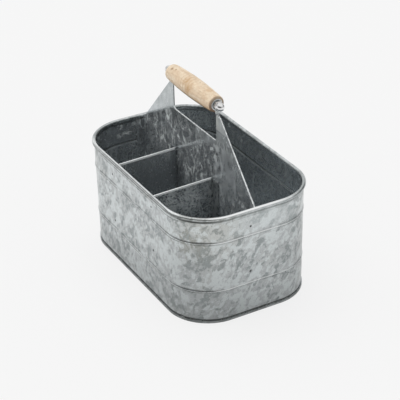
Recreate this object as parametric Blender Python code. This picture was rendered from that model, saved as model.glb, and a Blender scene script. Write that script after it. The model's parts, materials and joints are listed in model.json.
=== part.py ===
"""Zinc storage box: a wired-edge sheet tub with dividers, raised arms and a turned wooden grip.

The long side of the box runs along X, the rear is -X and the three small compartments lie on -Y.
The origin is the middle of the footprint, on the surface that the box stands on. Sizes are in metres.
"""

import math

import bmesh
import bpy
from mathutils import Matrix, Vector

# Driving dimensions of the tub
LENGTH = 0.280
WIDTH = 0.178
RIM_HEIGHT = 0.139
CORNER_RADIUS = 0.056
WALL_LEAN = 0.0012
SHEET = 0.0007
CLEARANCE = 0.0003
ROLL_DIAMETER = 0.0048
ROLL_STEPS = 12
JOGGLE_DEPTH = 0.007
BEAD_HEIGHTS = (0.0425, 0.1055)
BEAD_DEPTH = 0.0007
BEAD_WIDTH = 0.0032
BEAD_SECTION = ((-0.5, 0), (-0.22, 0.7), (0, 1), (0.22, 0.7), (0.5, 0))
LAP_WIDTH = 0.012
LAP_JOGGLE = 0.003
CORNER_STEPS = 9

# Driving dimensions of the bottom
BASE_RISE = 0.003
BASE_SEAM_HEIGHT = 0.0036
BASE_BEND = 0.00035

# Driving dimensions of the centre divider and its arms
PLATE_TOP = 0.182
PLATE_FLANGE = 0.010
NOTCH_FILLET = 0.004
NECK_WIDTH = 0.0044
SHOULDER_WIDTH = 0.004
SHOULDER_START_ANGLE = -115
TWIST_LENGTH = 0.0046
TWIST_STEPS = 7
EYE_DIAMETER = 0.014
HEM_WIDTH = 0.005
HEM_THICKNESS = 0.0017

# Driving dimensions of the cross dividers
DIVIDER_TOP = 0.1295
REAR_DIVIDER_X = -0.0465
FRONT_DIVIDER_X = 0.040
DIVIDER_FLANGE = 0.014
DIVIDER_FLANGE_DROP = 0.0015
DIVIDER_HEM_WIDTH = 0.004

# Driving dimensions of the handle
HANDLE_AXIS_HEIGHT = 0.2287
GRIP_LENGTH = 0.104
GRIP_DIAMETER = 0.024
GRIP_SHOULDER_DIAMETER = 0.0202
GRIP_FACE_DIAMETER = 0.0174
GRIP_SHOULDER_LENGTH = 0.0035
ROD_DIAMETER = 0.006
NUT_ACROSS_FLATS = 0.010
NUT_HEX_HEIGHT = 0.0055
NUT_HEIGHT = 0.012
NUT_DOME_DIAMETER = 0.0092
NUT_CHAMFER_ANGLE = 30
NUT_BORE_DEPTH = 0.0082
BARREL_STEPS = 10
ROUND_STEPS = 24
BORE_STEPS = 16

# Sizes that follow from the driving dimensions
ROLL_RADIUS = ROLL_DIAMETER / 2
WALL_LENGTH = LENGTH - ROLL_DIAMETER
WALL_WIDTH = WIDTH - ROLL_DIAMETER
WALL_RADIUS = CORNER_RADIUS - ROLL_RADIUS
CORNER_X = WALL_LENGTH / 2 - WALL_RADIUS
CORNER_Y = WALL_WIDTH / 2 - WALL_RADIUS
ROLL_CENTRE = RIM_HEIGHT - ROLL_RADIUS
ARM_FOOT_HEIGHT = RIM_HEIGHT - JOGGLE_DEPTH
FLOOR_TOP = BASE_RISE + SHEET
SHEET_FOOT = FLOOR_TOP + CLEARANCE
EYE_X = GRIP_LENGTH / 2 + CLEARANCE + SHEET / 2
EYE_RADIUS = EYE_DIAMETER / 2
BORE_RADIUS = ROD_DIAMETER / 2 + CLEARANCE
TWIST_END = HANDLE_AXIS_HEIGHT - (GRIP_FACE_DIAMETER + GRIP_SHOULDER_DIAMETER) / 4 - CLEARANCE
TWIST_START = TWIST_END - TWIST_LENGTH
SHOULDER_X = EYE_X + NECK_WIDTH / 2 + SHOULDER_WIDTH
NUT_SEAT_X = EYE_X + SHEET / 2 + CLEARANCE
ROD_HALF_LENGTH = NUT_SEAT_X + NUT_BORE_DEPTH - CLEARANCE

MERGE = 0.000001


def lean(height):
    """How far the wall has leaned in from the rim at a height."""
    return WALL_LEAN * (1 - height / RIM_HEIGHT)


def inner_half_length(height):
    """Half the clear length between the short walls, for a sheet that stands between them."""
    return WALL_LENGTH / 2 - SHEET - CLEARANCE - lean(height)


def inner_half_width(height):
    """Half the clear width between the long walls, for a sheet that stands between them."""
    return WALL_WIDTH / 2 - SHEET - CLEARANCE - lean(height)


def arc(centre, radius, start, end, steps):
    """Points on a round stretch, from one angle to another."""
    points = []
    for step in range(steps + 1):
        angle = start + (end - start) * step / steps
        points.append((centre[0] + radius * math.cos(angle), centre[1] + radius * math.sin(angle)))
    return points


def clear_scene():
    """Remove every object that the new file came with."""
    for old in list(bpy.data.objects):
        bpy.data.objects.remove(old, do_unlink=True)


def make_material(name, colour, roughness, metallic):
    """A plain Principled material in the colour of the real part."""
    material = bpy.data.materials.new(name)
    material.use_nodes = True
    shader = material.node_tree.nodes["Principled BSDF"]
    shader.inputs["Base Color"].default_value = (*colour, 1)
    shader.inputs["Roughness"].default_value = roughness
    shader.inputs["Metallic"].default_value = metallic
    return material


def add_object(name, bm, material, smooth_angle=30):
    """Turn a finished bmesh into a named object with a material."""
    bmesh.ops.remove_doubles(bm, verts=bm.verts, dist=MERGE)
    bmesh.ops.recalc_face_normals(bm, faces=bm.faces)
    mesh = bpy.data.meshes.new(name)
    bm.to_mesh(mesh)
    bm.free()
    mesh.materials.append(material)
    mesh.shade_smooth()
    mesh.set_sharp_from_angle(angle=math.radians(smooth_angle))
    part = bpy.data.objects.new(name, mesh)
    bpy.context.collection.objects.link(part)
    return part


def extrude_along(bm, edges, step):
    """Carry a run of edges along a straight wall and return the new run."""
    result = bmesh.ops.extrude_edge_only(bm, edges=edges)["geom"]
    bmesh.ops.translate(bm, vec=step, verts=[item for item in result if isinstance(item, bmesh.types.BMVert)])
    moved = [item for item in result if isinstance(item, bmesh.types.BMVert)]
    return [
        item
        for item in result
        if isinstance(item, bmesh.types.BMEdge) and all(vert in moved for vert in item.verts)
    ]


def sweep_round_tub(profile, closed):
    """Carry a profile once round the tub's rounded rectangle.

    Each profile point is (distance outwards from the wall line, height). Corners are spun and straight
    walls extruded, and the rear wall gets the extra columns that its lap seam needs.
    """
    bm = bmesh.new()
    run = [bm.verts.new((CORNER_X + WALL_RADIUS + out, CORNER_Y, height)) for out, height in profile]
    edges = [bm.edges.new(pair) for pair in zip(run, run[1:])]
    if closed:
        edges.append(bm.edges.new((run[-1], run[0])))
    lap = [LAP_WIDTH / 2 + LAP_JOGGLE, LAP_WIDTH / 2, -LAP_WIDTH / 2, -LAP_WIDTH / 2 - CLEARANCE]
    rear_stops = [CORNER_Y] + lap + [-CORNER_Y]
    rear_wall = [Vector((0, after - before, 0)) for before, after in zip(rear_stops, rear_stops[1:])]
    legs = [
        (Vector((CORNER_X, CORNER_Y, 0)), [Vector((-2 * CORNER_X, 0, 0))]),
        (Vector((-CORNER_X, CORNER_Y, 0)), rear_wall),
        (Vector((-CORNER_X, -CORNER_Y, 0)), [Vector((2 * CORNER_X, 0, 0))]),
        (Vector((CORNER_X, -CORNER_Y, 0)), [Vector((0, 2 * CORNER_Y, 0))]),
    ]
    for centre, steps in legs:
        ends = {vert for edge in edges for vert in edge.verts}
        spun = bmesh.ops.spin(
            bm,
            geom=list(ends) + edges,
            cent=centre,
            axis=(0, 0, 1),
            angle=math.pi / 2,
            steps=CORNER_STEPS,
        )
        edges = [item for item in spun["geom_last"] if isinstance(item, bmesh.types.BMEdge)]
        for step in steps:
            edges = extrude_along(bm, edges, step)
    bmesh.ops.remove_doubles(bm, verts=bm.verts, dist=MERGE)
    return bm


def bead_line(depth_at_face):
    """Points of the wall face between the bottom seam and the joggle, with both swaged beads."""
    points = []
    for middle in BEAD_HEIGHTS:
        for share, rise in BEAD_SECTION:
            height = middle + share * BEAD_WIDTH
            points.append((depth_at_face + rise * BEAD_DEPTH - lean(height), height))
    return points


def build_tub_wall(material):
    """The wall band: beads, rolled top edge and the lap seam on the rear wall."""
    foot = SHEET + CLEARANCE
    lap_low = BASE_SEAM_HEIGHT + 2 * SHEET
    lap_high = RIM_HEIGHT - JOGGLE_DEPTH - SHEET
    joggle_low = RIM_HEIGHT - JOGGLE_DEPTH
    roll_centre = (0, ROLL_CENTRE)
    roll_end = -math.pi / 2
    outer = [(-lean(foot), foot)]
    outer += [(-lean(height), height) for height in (lap_low, lap_low + CLEARANCE)]
    outer += bead_line(0)
    outer += [(-lean(height), height) for height in (lap_high - CLEARANCE, lap_high)]
    outer.append((-lean(joggle_low), joggle_low))
    rolled_inside = arc(roll_centre, ROLL_RADIUS - SHEET, math.pi, roll_end, ROLL_STEPS)
    rolled_outside = arc(roll_centre, ROLL_RADIUS, roll_end, math.pi, ROLL_STEPS)
    inner = [(-SHEET - lean(joggle_low), joggle_low)]
    inner += list(reversed(bead_line(-SHEET)))
    inner.append((-SHEET - lean(foot), foot))
    bm = sweep_round_tub(outer + rolled_inside + rolled_outside + inner, closed=True)
    face_line = -WALL_LENGTH / 2
    for vert in bm.verts:
        outwards = face_line - vert.co.x + lean(vert.co.z)
        on_lap = abs(vert.co.y) < LAP_WIDTH / 2 + MERGE and vert.co.x < 0
        in_height = lap_low + CLEARANCE / 2 < vert.co.z < lap_high - CLEARANCE / 2
        if on_lap and in_height and outwards > -SHEET / 2:
            vert.co.x -= SHEET
    return add_object("tub_wall", bm, material)


def build_rim_wire(material):
    """The wire that the top edge is rolled round."""
    radius = ROLL_RADIUS - SHEET - CLEARANCE
    circle = arc((0, ROLL_CENTRE), radius, 0, 2 * math.pi, 8)[:-1]
    return add_object("rim_wire", sweep_round_tub(circle, closed=True), material)


def build_base_pan(material):
    """The bottom: a raised floor whose edge goes down, under the wall and up outside it."""
    foot_lean = lean(0)
    inside_wall = -SHEET - CLEARANCE - foot_lean
    outside_wall = CLEARANCE - foot_lean
    profile = [
        (inside_wall - SHEET, FLOOR_TOP),
        (inside_wall, FLOOR_TOP - BASE_BEND),
        (inside_wall, SHEET),
        (outside_wall, SHEET),
        (outside_wall, BASE_SEAM_HEIGHT),
        (outside_wall + BASE_BEND, BASE_SEAM_HEIGHT),
        (outside_wall + SHEET, BASE_SEAM_HEIGHT - BASE_BEND),
        (outside_wall + SHEET, BASE_BEND),
        (outside_wall + SHEET - BASE_BEND, 0),
        (inside_wall - SHEET + BASE_BEND, 0),
        (inside_wall - SHEET, BASE_BEND),
        (inside_wall - SHEET, BASE_RISE - BASE_BEND),
        (inside_wall - SHEET - BASE_BEND, BASE_RISE),
    ]
    bm = sweep_round_tub(profile, closed=False)
    rims = [edge for edge in bm.edges if edge.is_boundary]
    bmesh.ops.holes_fill(bm, edges=rims, sides=0)
    return add_object("base_pan", bm, material)


def fill_outline(points, holes, to_world):
    """A flat face from an outline, with round holes where they are given."""
    bm = bmesh.new()
    for loop in [points] + holes:
        verts = [bm.verts.new(to_world(*point)) for point in loop]
        for pair in zip(verts, verts[1:] + verts[:1]):
            bm.edges.new(pair)
    bmesh.ops.triangle_fill(bm, edges=bm.edges, use_beauty=True)
    return bm


def cut(bm, point, normal):
    """Add the edges of a fold or hem line across the sheet."""
    everything = bm.verts[:] + bm.edges[:] + bm.faces[:]
    bmesh.ops.bisect_plane(bm, geom=everything, dist=MERGE, plane_co=point, plane_no=normal)


def raise_faces(bm, faces, step):
    """Extrude faces by a step and return the faces that moved."""
    result = bmesh.ops.extrude_face_region(bm, geom=faces)["geom"]
    bmesh.ops.translate(bm, vec=step, verts=[item for item in result if isinstance(item, bmesh.types.BMVert)])
    bmesh.ops.delete(bm, geom=[face for face in faces if face.is_valid], context="FACES_ONLY")
    return [item for item in result if isinstance(item, bmesh.types.BMFace)]


def thicken(bm, step):
    """Give a flat sheet its thickness."""
    sheet = bm.faces[:]
    result = bmesh.ops.extrude_face_region(bm, geom=sheet, use_keep_orig=True)["geom"]
    bmesh.ops.translate(bm, vec=step, verts=[item for item in result if isinstance(item, bmesh.types.BMVert)])
    return sheet, [item for item in result if isinstance(item, bmesh.types.BMFace)]


def shoulder_curve():
    """The hollow curve by which an arm narrows from its straight edge to its neck."""
    start = math.radians(SHOULDER_START_ANGLE)
    points = []
    for along, up in arc((0, 0), 1, start, -math.pi, 6):
        reach = (along + 1) / (math.cos(start) + 1)
        climb = 1 - up / math.sin(start)
        points.append((SHOULDER_X - SHOULDER_WIDTH * (1 - reach), TWIST_START + TWIST_LENGTH * climb))
    return points


def plate_outline():
    """Outline of the centre divider in X and Z, anticlockwise seen from -Y, starting at the bottom."""
    right = [(inner_half_length(height), height) for height in (SHEET_FOOT, ARM_FOOT_HEIGHT)]
    right += shoulder_curve()
    neck_angle = math.asin(NECK_WIDTH / EYE_DIAMETER)
    eye_start = -math.pi / 2 + neck_angle
    eye_end = 3 * math.pi / 2 - neck_angle
    right += arc((EYE_X, HANDLE_AXIS_HEIGHT), EYE_RADIUS, eye_start, eye_end, 18)
    notch_side = EYE_X - NECK_WIDTH / 2
    fillet = (notch_side - NOTCH_FILLET, PLATE_TOP + NOTCH_FILLET)
    right += arc(fillet, NOTCH_FILLET, 0, -math.pi / 2, 5)
    return right + [(-x, z) for x, z in reversed(right)]


def build_centre_divider(material):
    """The plate from end to end with its two arms, twisted necks and eyes."""
    holes = []
    for eye_x in (EYE_X, -EYE_X):
        holes.append(arc((eye_x, HANDLE_AXIS_HEIGHT), BORE_RADIUS, 0, 2 * math.pi, BORE_STEPS)[:-1])
    bm = fill_outline(plate_outline(), holes, lambda x, z: (x, -SHEET / 2, z))
    foot = Vector((inner_half_length(ARM_FOOT_HEIGHT), 0, ARM_FOOT_HEIGHT))
    tip = Vector((SHOULDER_X, 0, TWIST_START))
    along = (tip - foot).normalized()
    across = Vector((along.z, 0, -along.x))
    notch_side = EYE_X - NECK_WIDTH / 2
    end_low = Vector((inner_half_length(0) - SHEET, 0, 0))
    end_high = Vector((inner_half_length(RIM_HEIGHT) - SHEET, 0, RIM_HEIGHT))
    end_along = (end_high - end_low).normalized()
    end_across = Vector((end_along.z, 0, -end_along.x))
    mirror = Matrix.Scale(-1, 3, (1, 0, 0))
    for flip in (Matrix.Identity(3), mirror):
        cut(bm, flip @ (foot - across * HEM_WIDTH), flip @ across)
        cut(bm, flip @ Vector((notch_side + HEM_WIDTH, 0, 0)), flip @ Vector((1, 0, 0)))
        cut(bm, flip @ end_low, flip @ end_across)
    heights = [PLATE_TOP - HEM_WIDTH, ARM_FOOT_HEIGHT]
    heights += [TWIST_START + step * TWIST_LENGTH / TWIST_STEPS for step in range(TWIST_STEPS + 1)]
    for height in heights:
        cut(bm, (0, 0, height), (0, 0, 1))
    front, back = thicken(bm, (0, SHEET, 0))

    def in_hem(face):
        middle = face.calc_center_median()
        x, z = abs(middle.x), middle.z
        from_edge = (Vector((x, 0, z)) - foot).dot(across)
        beside_arm = from_edge > -HEM_WIDTH and z > ARM_FOOT_HEIGHT
        under_notch = x < notch_side + HEM_WIDTH and z > PLATE_TOP - HEM_WIDTH
        return z < TWIST_START and (beside_arm or under_notch)

    def in_flange(face):
        middle = face.calc_center_median()
        from_end = (Vector((abs(middle.x), 0, middle.z)) - end_low).dot(end_across)
        return from_end > 0 and middle.z < ARM_FOOT_HEIGHT

    raise_faces(bm, [face for face in back if in_hem(face)], (0, HEM_THICKNESS - SHEET, 0))
    raise_faces(bm, [face for face in front if in_flange(face)], (0, SHEET - PLATE_FLANGE, 0))
    for vert in bm.verts:
        share = min(max((vert.co.z - TWIST_START) / TWIST_LENGTH, 0), 1)
        turn = math.pi / 2 * share * share * (3 - 2 * share)
        side = math.copysign(1, vert.co.x)
        axis = Vector((side * EYE_X, 0, 0))
        if share > 0:
            vert.co = Matrix.Rotation(side * turn, 3, "Z") @ (vert.co - axis) + axis
    return add_object("centre_divider", bm, material)


def build_cross_divider(name, place, side, material):
    """A short divider at one place along X, with both flanges turned to one side."""
    plate_face = -SHEET / 2 - CLEARANCE
    outline = [
        (-inner_half_width(SHEET_FOOT), SHEET_FOOT),
        (plate_face, SHEET_FOOT),
        (plate_face, DIVIDER_TOP),
        (-inner_half_width(DIVIDER_TOP), DIVIDER_TOP),
    ]
    bm = fill_outline(outline, [], lambda y, z: (place, y, z))
    wall_low = Vector((0, -inner_half_width(0) + SHEET, 0))
    wall_high = Vector((0, -inner_half_width(RIM_HEIGHT) + SHEET, RIM_HEIGHT))
    wall_along = (wall_high - wall_low).normalized()
    wall_across = Vector((0, -wall_along.z, wall_along.y))
    flange_top = DIVIDER_TOP - DIVIDER_FLANGE_DROP
    hem_foot = DIVIDER_TOP - DIVIDER_HEM_WIDTH
    cut(bm, wall_low + Vector((place, 0, 0)), wall_across)
    cut(bm, (place, plate_face - SHEET, 0), (0, 1, 0))
    cut(bm, (place, 0, flange_top), (0, 0, 1))
    cut(bm, (place, 0, hem_foot), (0, 0, 1))
    _, back = thicken(bm, (side * SHEET, 0, 0))

    def in_end_strip(face):
        middle = face.calc_center_median()
        at_wall = (Vector((0, middle.y, middle.z)) - wall_low).dot(wall_across) > 0
        at_plate = middle.y > plate_face - SHEET
        return at_wall or at_plate

    def in_hem(face):
        return face.calc_center_median().z > hem_foot

    folded = [face for face in back if in_end_strip(face) or in_hem(face)]
    moved = raise_faces(bm, folded, (side * (HEM_THICKNESS - SHEET), 0, 0))
    flanges = [face for face in moved if in_end_strip(face) and face.calc_center_median().z < flange_top]
    raise_faces(bm, flanges, (side * (DIVIDER_FLANGE - HEM_THICKNESS), 0, 0))
    return add_object(name, bm, material)


def turn_profile(bm, profile, steps):
    """Spin a profile of (X, radius) points about the X axis."""
    verts = [bm.verts.new((along, 0, radius)) for along, radius in profile]
    edges = [bm.edges.new(pair) for pair in zip(verts, verts[1:] + verts[:1])]
    bmesh.ops.spin(bm, geom=verts + edges, cent=(0, 0, 0), axis=(1, 0, 0), angle=2 * math.pi, steps=steps)
    bmesh.ops.remove_doubles(bm, verts=bm.verts, dist=MERGE)


def build_grip(material):
    """The turned wooden grip: a barrel with rounded shoulders and a bore for the rod."""
    half = GRIP_LENGTH / 2
    shoulder_x = half - GRIP_SHOULDER_LENGTH
    shoulder_rise = (GRIP_SHOULDER_DIAMETER - GRIP_FACE_DIAMETER) / 2
    swell = (GRIP_DIAMETER - GRIP_SHOULDER_DIAMETER) / 2
    rear_end = [(-half, BORE_RADIUS)]
    for back, rise in arc((0, 0), 1, math.pi, math.pi / 2, 4):
        radius = GRIP_FACE_DIAMETER / 2 + shoulder_rise * rise
        rear_end.append((-shoulder_x + GRIP_SHOULDER_LENGTH * back, radius))
    barrel = []
    for step in range(1, BARREL_STEPS):
        along = -1 + 2 * step / BARREL_STEPS
        barrel.append((along * shoulder_x, GRIP_SHOULDER_DIAMETER / 2 + swell * (1 - along * along)))
    front_end = [(-x, radius) for x, radius in reversed(rear_end)]
    bm = bmesh.new()
    turn_profile(bm, rear_end + barrel + front_end, ROUND_STEPS)
    grip = add_object("handle_grip", bm, material)
    grip.location.z = HANDLE_AXIS_HEIGHT
    return grip


def add_bar(name, start, end, radius, steps, material):
    """A straight bar along X between two places, round or with as many sides as it has steps."""
    bm = bmesh.new()
    middle = Matrix.Translation(((start + end) / 2, 0, 0))
    bmesh.ops.create_cone(
        bm,
        cap_ends=True,
        segments=steps,
        radius1=radius,
        radius2=radius,
        depth=end - start,
        matrix=middle @ Matrix.Rotation(math.pi / 2, 4, "Y"),
    )
    return add_object(name, bm, material)


def build_rod(material):
    """The steel rod through the grip, the eyes and into both nuts."""
    rod = add_bar("handle_rod", -ROD_HALF_LENGTH, ROD_HALF_LENGTH, ROD_DIAMETER / 2, BORE_STEPS, material)
    rod.location.z = HANDLE_AXIS_HEIGHT


def add_boolean(part, shape, operation):
    """Add an exact Boolean whose shape moves with the part and stays hidden."""
    modifier = part.modifiers.new(operation.lower(), "BOOLEAN")
    modifier.operation = operation
    modifier.object = shape
    modifier.solver = "EXACT"
    shape.parent = part
    shape.hide_render = True
    shape.display_type = "WIRE"


def build_cap_nut(name, side, material):
    """A domed cap nut: a turned envelope trimmed to six flats below the dome, with a blind bore."""
    face_radius = NUT_ACROSS_FLATS / 2 - CLEARANCE
    corner_radius = NUT_ACROSS_FLATS / 2 / math.cos(math.pi / 6)
    outer_radius = corner_radius + CLEARANCE
    chamfer = (outer_radius - face_radius) * math.tan(math.radians(NUT_CHAMFER_ANGLE))
    dome_radius = NUT_DOME_DIAMETER / 2
    envelope = [(0, 0), (0, face_radius), (chamfer, outer_radius)]
    envelope += [(NUT_HEX_HEIGHT - chamfer, outer_radius), (NUT_HEX_HEIGHT, face_radius)]
    envelope += [(NUT_HEX_HEIGHT, dome_radius)]
    envelope += arc((NUT_HEIGHT - dome_radius, 0), dome_radius, math.pi / 2, 0, 7)
    bm = bmesh.new()
    turn_profile(bm, envelope, ROUND_STEPS)
    nut = add_object(name, bm, material)
    dome_start = NUT_HEX_HEIGHT - CLEARANCE
    dome_guide_radius = dome_radius + CLEARANCE
    hexagon = add_bar(name + "_hexagon", -CLEARANCE, NUT_HEX_HEIGHT + CLEARANCE, corner_radius, 6, material)
    dome = add_bar(name + "_dome", dome_start, 2 * NUT_HEIGHT, dome_guide_radius, ROUND_STEPS, material)
    bore = add_bar(name + "_bore", -NUT_BORE_DEPTH, NUT_BORE_DEPTH, BORE_RADIUS, BORE_STEPS, material)
    add_boolean(hexagon, dome, "UNION")
    add_boolean(nut, hexagon, "INTERSECT")
    add_boolean(nut, bore, "DIFFERENCE")
    nut.location = (side * NUT_SEAT_X, 0, HANDLE_AXIS_HEIGHT)
    nut.rotation_euler.z = math.pi * (1 - side) / 2


def main():
    """Build every piece of the box."""
    clear_scene()
    zinc = make_material("galvanised_sheet", (0.52, 0.55, 0.56), 0.42, 0.85)
    dark_zinc = make_material("galvanised_inside", (0.36, 0.38, 0.39), 0.38, 0.85)
    wire_steel = make_material("wire_steel", (0.45, 0.45, 0.45), 0.40, 1.0)
    wood = make_material("pale_beech", (0.72, 0.56, 0.37), 0.55, 0.0)
    plated = make_material("bright_plating", (0.80, 0.80, 0.80), 0.12, 1.0)
    build_tub_wall(zinc)
    build_rim_wire(wire_steel)
    build_base_pan(zinc)
    build_centre_divider(dark_zinc)
    build_cross_divider("cross_divider_rear", REAR_DIVIDER_X, -1, dark_zinc)
    build_cross_divider("cross_divider_front", FRONT_DIVIDER_X, 1, dark_zinc)
    build_grip(wood)
    build_rod(wire_steel)
    build_cap_nut("cap_nut_front", 1, plated)
    build_cap_nut("cap_nut_rear", -1, plated)


main()
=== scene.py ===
"""Zinc storage box with a turned wooden grip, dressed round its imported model.

Sizes are in metres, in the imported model's frame: the long side of the box runs along X, the three small
compartments lie on -Y, and the origin is the middle of the footprint on the surface the box stands on.
"""

import sys

import json
import math
from functools import partial

import bmesh
import bpy
from mathutils import Matrix, Vector
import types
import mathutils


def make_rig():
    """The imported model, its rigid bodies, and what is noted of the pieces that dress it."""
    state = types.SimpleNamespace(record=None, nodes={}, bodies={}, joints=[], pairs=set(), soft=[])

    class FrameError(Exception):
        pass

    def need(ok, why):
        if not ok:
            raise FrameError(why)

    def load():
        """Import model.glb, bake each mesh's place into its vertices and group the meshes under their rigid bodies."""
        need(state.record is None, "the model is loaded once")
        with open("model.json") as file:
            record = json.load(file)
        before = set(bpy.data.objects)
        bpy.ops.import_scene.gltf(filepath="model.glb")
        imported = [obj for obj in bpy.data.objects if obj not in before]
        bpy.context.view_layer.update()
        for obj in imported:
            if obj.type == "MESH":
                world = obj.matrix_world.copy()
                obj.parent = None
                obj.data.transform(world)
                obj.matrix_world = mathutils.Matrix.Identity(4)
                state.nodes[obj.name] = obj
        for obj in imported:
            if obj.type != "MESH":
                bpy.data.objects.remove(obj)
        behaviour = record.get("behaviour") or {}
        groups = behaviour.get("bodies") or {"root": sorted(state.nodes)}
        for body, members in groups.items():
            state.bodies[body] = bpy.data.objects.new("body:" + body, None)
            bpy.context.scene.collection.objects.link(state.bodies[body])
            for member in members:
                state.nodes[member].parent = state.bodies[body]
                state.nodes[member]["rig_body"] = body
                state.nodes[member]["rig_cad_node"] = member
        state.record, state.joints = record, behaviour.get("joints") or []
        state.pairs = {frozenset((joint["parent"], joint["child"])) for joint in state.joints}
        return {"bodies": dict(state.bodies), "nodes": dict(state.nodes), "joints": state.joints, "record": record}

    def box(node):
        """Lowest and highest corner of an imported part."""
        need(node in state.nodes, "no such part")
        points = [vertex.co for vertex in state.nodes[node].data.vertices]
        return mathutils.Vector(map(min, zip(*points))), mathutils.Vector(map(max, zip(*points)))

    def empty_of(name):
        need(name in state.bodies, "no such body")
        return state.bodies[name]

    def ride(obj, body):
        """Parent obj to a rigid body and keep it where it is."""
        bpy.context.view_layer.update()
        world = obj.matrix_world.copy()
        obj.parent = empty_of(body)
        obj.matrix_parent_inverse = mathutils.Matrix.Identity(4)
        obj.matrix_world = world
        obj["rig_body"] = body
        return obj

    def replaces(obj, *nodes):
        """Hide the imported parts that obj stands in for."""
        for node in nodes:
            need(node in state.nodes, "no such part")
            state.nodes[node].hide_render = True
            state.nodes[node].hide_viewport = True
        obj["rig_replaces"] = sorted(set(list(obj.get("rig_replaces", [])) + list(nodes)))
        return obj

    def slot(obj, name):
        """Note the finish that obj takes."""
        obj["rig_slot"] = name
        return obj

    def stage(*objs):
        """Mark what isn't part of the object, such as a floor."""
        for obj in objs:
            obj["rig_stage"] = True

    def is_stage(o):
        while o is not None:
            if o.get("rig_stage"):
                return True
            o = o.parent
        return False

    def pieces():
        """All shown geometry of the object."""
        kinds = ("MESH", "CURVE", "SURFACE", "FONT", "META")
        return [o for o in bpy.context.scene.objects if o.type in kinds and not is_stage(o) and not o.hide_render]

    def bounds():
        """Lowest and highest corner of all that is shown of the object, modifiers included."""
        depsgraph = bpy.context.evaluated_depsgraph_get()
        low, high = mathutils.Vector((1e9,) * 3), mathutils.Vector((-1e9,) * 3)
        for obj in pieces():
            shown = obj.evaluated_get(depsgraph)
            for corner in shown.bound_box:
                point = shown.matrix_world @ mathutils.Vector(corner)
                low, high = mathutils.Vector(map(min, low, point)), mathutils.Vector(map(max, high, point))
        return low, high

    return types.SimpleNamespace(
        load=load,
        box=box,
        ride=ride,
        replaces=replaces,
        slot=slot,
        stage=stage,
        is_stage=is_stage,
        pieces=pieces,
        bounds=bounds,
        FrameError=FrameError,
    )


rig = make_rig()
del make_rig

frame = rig.load()

bl_info = {
    "name": "Zinc storage box",
    "version": (1, 0, 0),
    "blender": (4, 5, 0),
    "location": "View3D > Sidebar > Storage box",
    "description": "Builds the finished sheet-metal box, its grip and the stage round the packed model",
    "category": "Add Mesh",
}

SIZE_FILE = "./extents.json"
PHOTO_PIXELS = 400
SENSOR_WIDTH = 36
MERGE = 0.000001
SMOOTH_ANGLE = math.radians(35)
# Facets of what is turned, and steps of the tub's outline at each corner and along its sides
TURNED_SIDES = 72
CORNER_STEPS = 24
LONG_STEPS = 26
SHORT_STEPS = 10
# How much the tops of the cross dividers rise from the long wall to the centre plate
DIVIDER_SLOPE = 0.024
# Thickness of a folded hem, and the rounding of the sheets' other edges
HEM = 0.0017
EDGE_ROUNDING = 0.00018
# Chamfers of the grip's bore and of the nuts' corners, and the rounding of the nuts' edges
BORE_CHAMFER = 0.0004
NUT_CHAMFER = 0.0003
NUT_ROUNDING = 0.00012
# Size of the sheet's waves, and how far from the foot and the rim they fade out
WAVE_LENGTH = 0.045
WAVE_FADE = 0.012
# Spot welds: (X, height) on the near long wall, and heights on the short walls
SIDE_WELDS = ((-0.0485, 0.118), (-0.0490, 0.054), (0.0505, 0.122), (0.0510, 0.0645))
END_WELDS = (0.1165, 0.0575)
TUB_LOW, TUB_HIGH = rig.box("tub_wall")
PAN_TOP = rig.box("base_pan")[1].z
GRIP_LOW, GRIP_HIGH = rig.box("handle_grip")
HANDLE_AXIS = (GRIP_LOW.z + GRIP_HIGH.z) / 2
RIM = TUB_HIGH.z

# Patches that can be seen in the photograph: X, Y and Z of each one and how far it reaches, in millimetres
STAINS = (
    (135, -50, 115, 15), (125, -70, 90, 30), (15, -85, 80, 15), (20, -85, 100, 15), (120, -70, 35, 20),
    (110, -80, 120, 15), (110, -80, 55, 15), (135, 5, 70, 15), (130, 55, 105, 20), (130, 55, 70, 15),
)
BLOOMS = (
    (135, 25, 70, 20), (135, 30, 115, 15), (135, 20, 95, 15), (135, -40, 25, 15), (135, -20, 50, 15),
    (135, -45, 55, 15), (135, 25, 35, 15), (135, -40, 100, 15), (55, -85, 120, 15), (95, -85, 105, 15),
    (50, -85, 50, 15),
)
# Smears and dings on the inside
DINGS = (
    (-137, -32, 128, 5), (-137, -34, 116, 5), (-137, -26, 117, 5), (-137, -20, 118, 5), (-137, -12, 128, 4),
    (-68, 86, 129, 4), (-46, 86, 121, 3), (-38, 86, 121, 3), (41, -30, 110, 20), (41, -55, 115, 15),
)
# Places on the centre plate with more streaks, and with fewer
STREAKED = (
    (10, 0, 115, 20), (-25, 0, 120, 20), (-70, 0, 135, 20), (50, 0, 165, 15), (-35, 0, 175, 15),
    (-30, 0, 145, 20),
)
CALM = (
    (80, 0, 170, 15), (105, 0, 145, 20), (85, 0, 155, 15), (45, 0, 175, 15), (-130, 0, 110, 20),
    (55, 0, 200, 10), (80, 0, 130, 20), (25, 0, 170, 15), (-50, 0, 175, 10),
)
# Strength of each list
STAIN, BLOOM, DING, STREAK, LULL = 0.13, 0.11, 1.7, 1.2, 0.8
# Small knots in the grip, in the same way
KNOTS = (
    (-41.7, -6, 238.8, 3.4), (-34.7, -4.4, 239.6, 2.2), (14.1, 0.7, 240.4, 1.2), (32.8, -4.4, 239.5, 1.2),
)


def number(name, description, default, **options):
    """A property that holds one number."""
    return bpy.props.FloatProperty(name=name, description=description, default=default, **options)


def length(name, description, default):
    """A property that holds a length in metres."""
    return number(name, description, default, precision=5, unit="LENGTH")


def share(name, description, default):
    """A property that holds a share from 0 to 1."""
    return number(name, description, default, min=0, max=1, subtype="FACTOR")


def angle(name, description, degrees):
    """A property that holds an angle."""
    return number(name, description, math.radians(degrees), subtype="ANGLE")


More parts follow.
